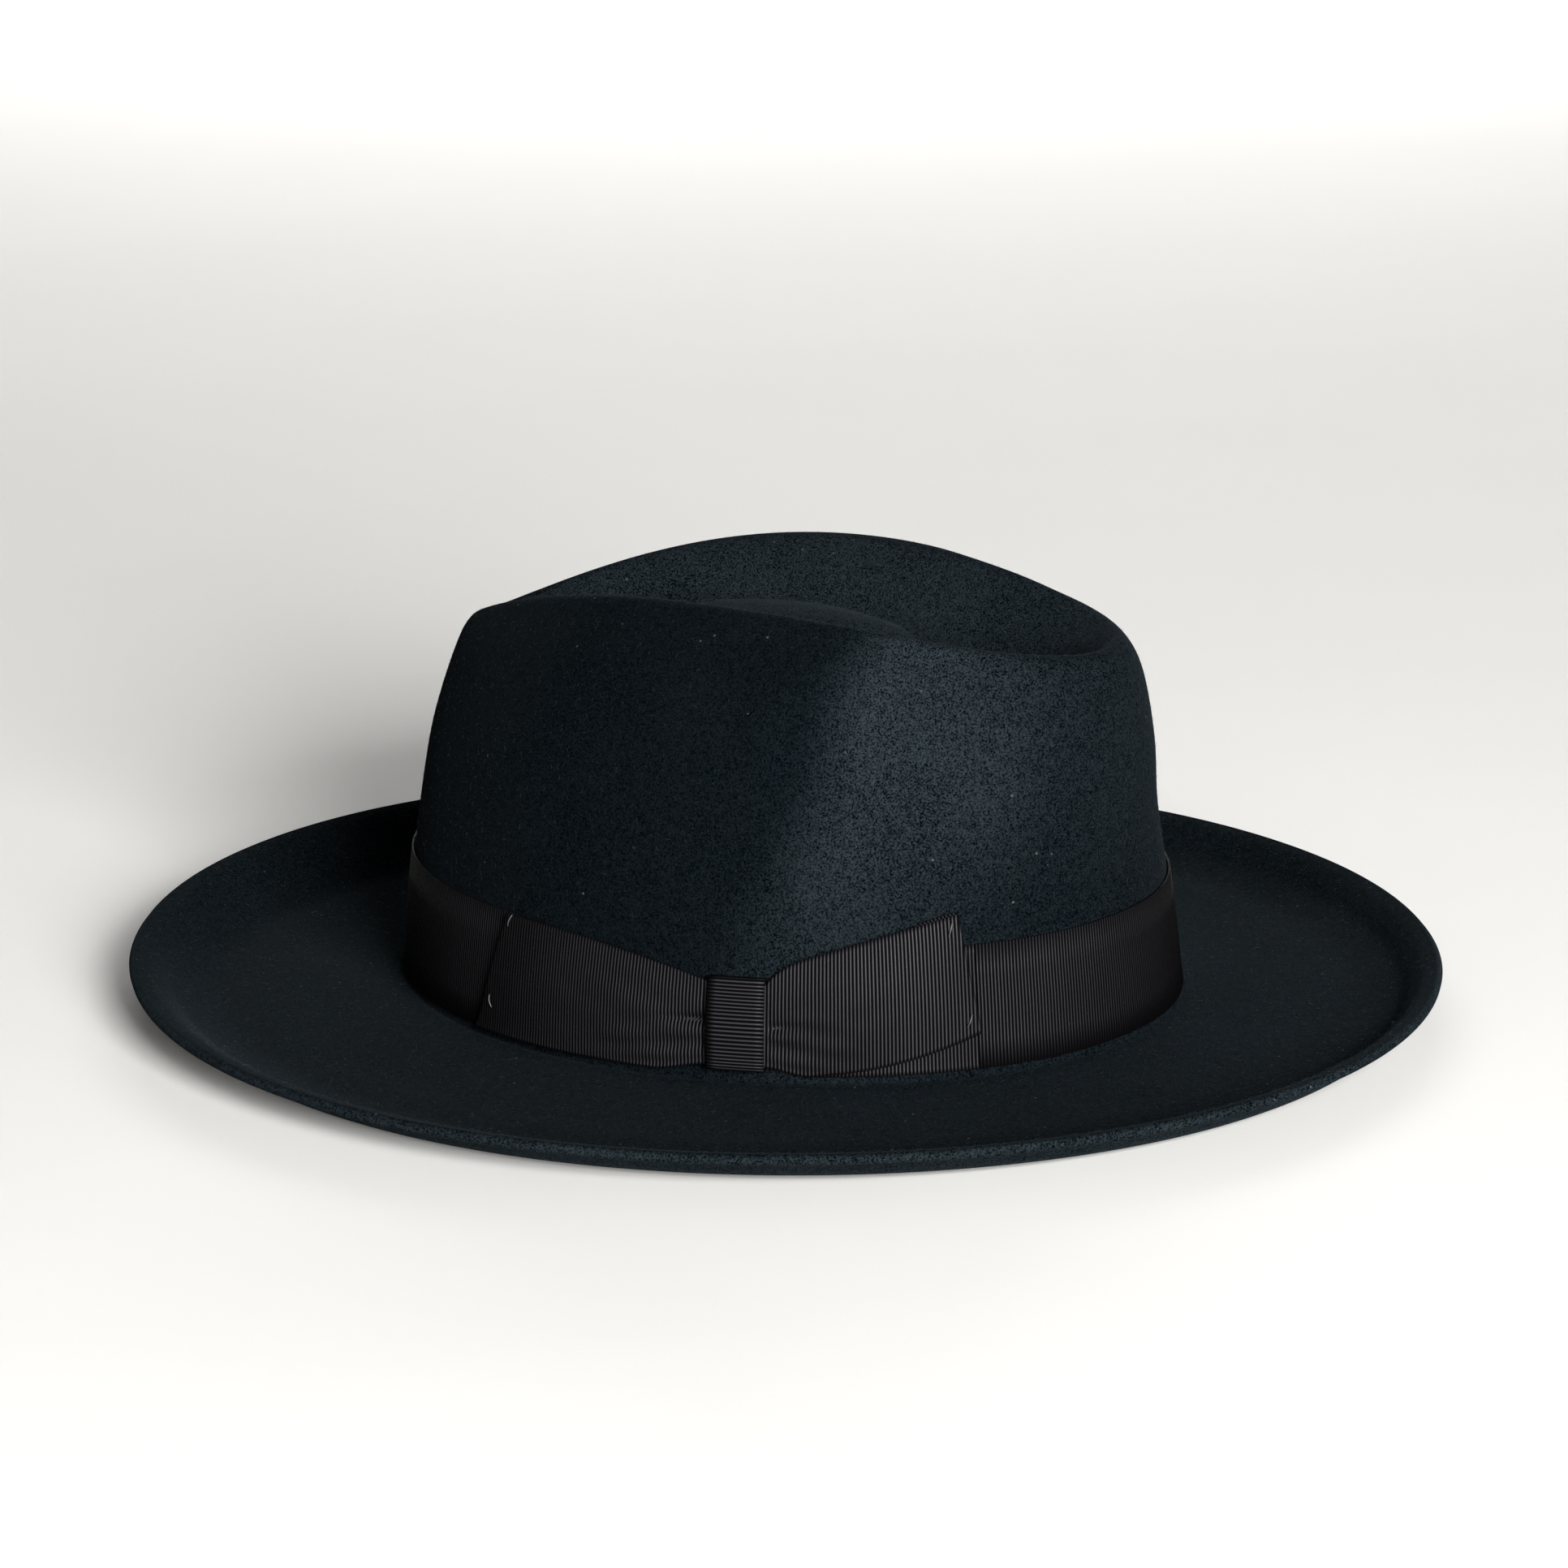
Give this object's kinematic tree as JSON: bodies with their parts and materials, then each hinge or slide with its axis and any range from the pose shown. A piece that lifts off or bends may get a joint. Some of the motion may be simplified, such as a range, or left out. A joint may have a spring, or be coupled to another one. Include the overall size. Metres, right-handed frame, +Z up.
{
  "type": "fedora hat",
  "caption": "Soft felt fedora with a creased and pinched crown, a wide brim with a curled edge, a ribbed ribbon band, a flat side bow and a sweatband inside.",
  "frame": {"origin": "middle of the brim's outline, on the plane that the brim rests on", "axes": "-Y is the front, the way the wearer faces; +Y is the back; +X is the wearer's left and -X the side with the bow; +Z is up to the crown"},
  "size_m": [0.3162, 0.3363, 0.1099],
  "materials": {
    "wool_felt": "matte, very dark blue-grey wool felt with a short fuzz",
    "grosgrain": "black ribbed ribbon with a soft sheen along the ribs",
    "thread": "dark sewing thread, slightly shiny",
    "sweatband_leather": "smooth, thin, near-black leather, semi-matte",
    "reed_plastic": "smooth flexible cord, semi-gloss",
    "label_cloth": "off-white woven label, blank"
  },
  "bodies": {
    "root": {"felt_body": "wool_felt", "hat_band": "grosgrain", "bow_base": "grosgrain", "bow_rear_wing": "grosgrain", "bow_front_wing": "grosgrain", "bow_keeper": "grosgrain", "rear_tack_upper": "thread", "rear_tack_lower": "thread", "front_tack_upper": "thread", "front_tack_lower": "thread", "sweatband": "sweatband_leather", "sweatband_reed": "reed_plastic", "sweatband_thread": "thread", "sweatband_seam_tab": "sweatband_leather", "back_bow_left_loop": "grosgrain", "back_bow_right_loop": "grosgrain", "back_bow_tie": "grosgrain", "size_label": "label_cloth"}
  },
  "joints": []
}
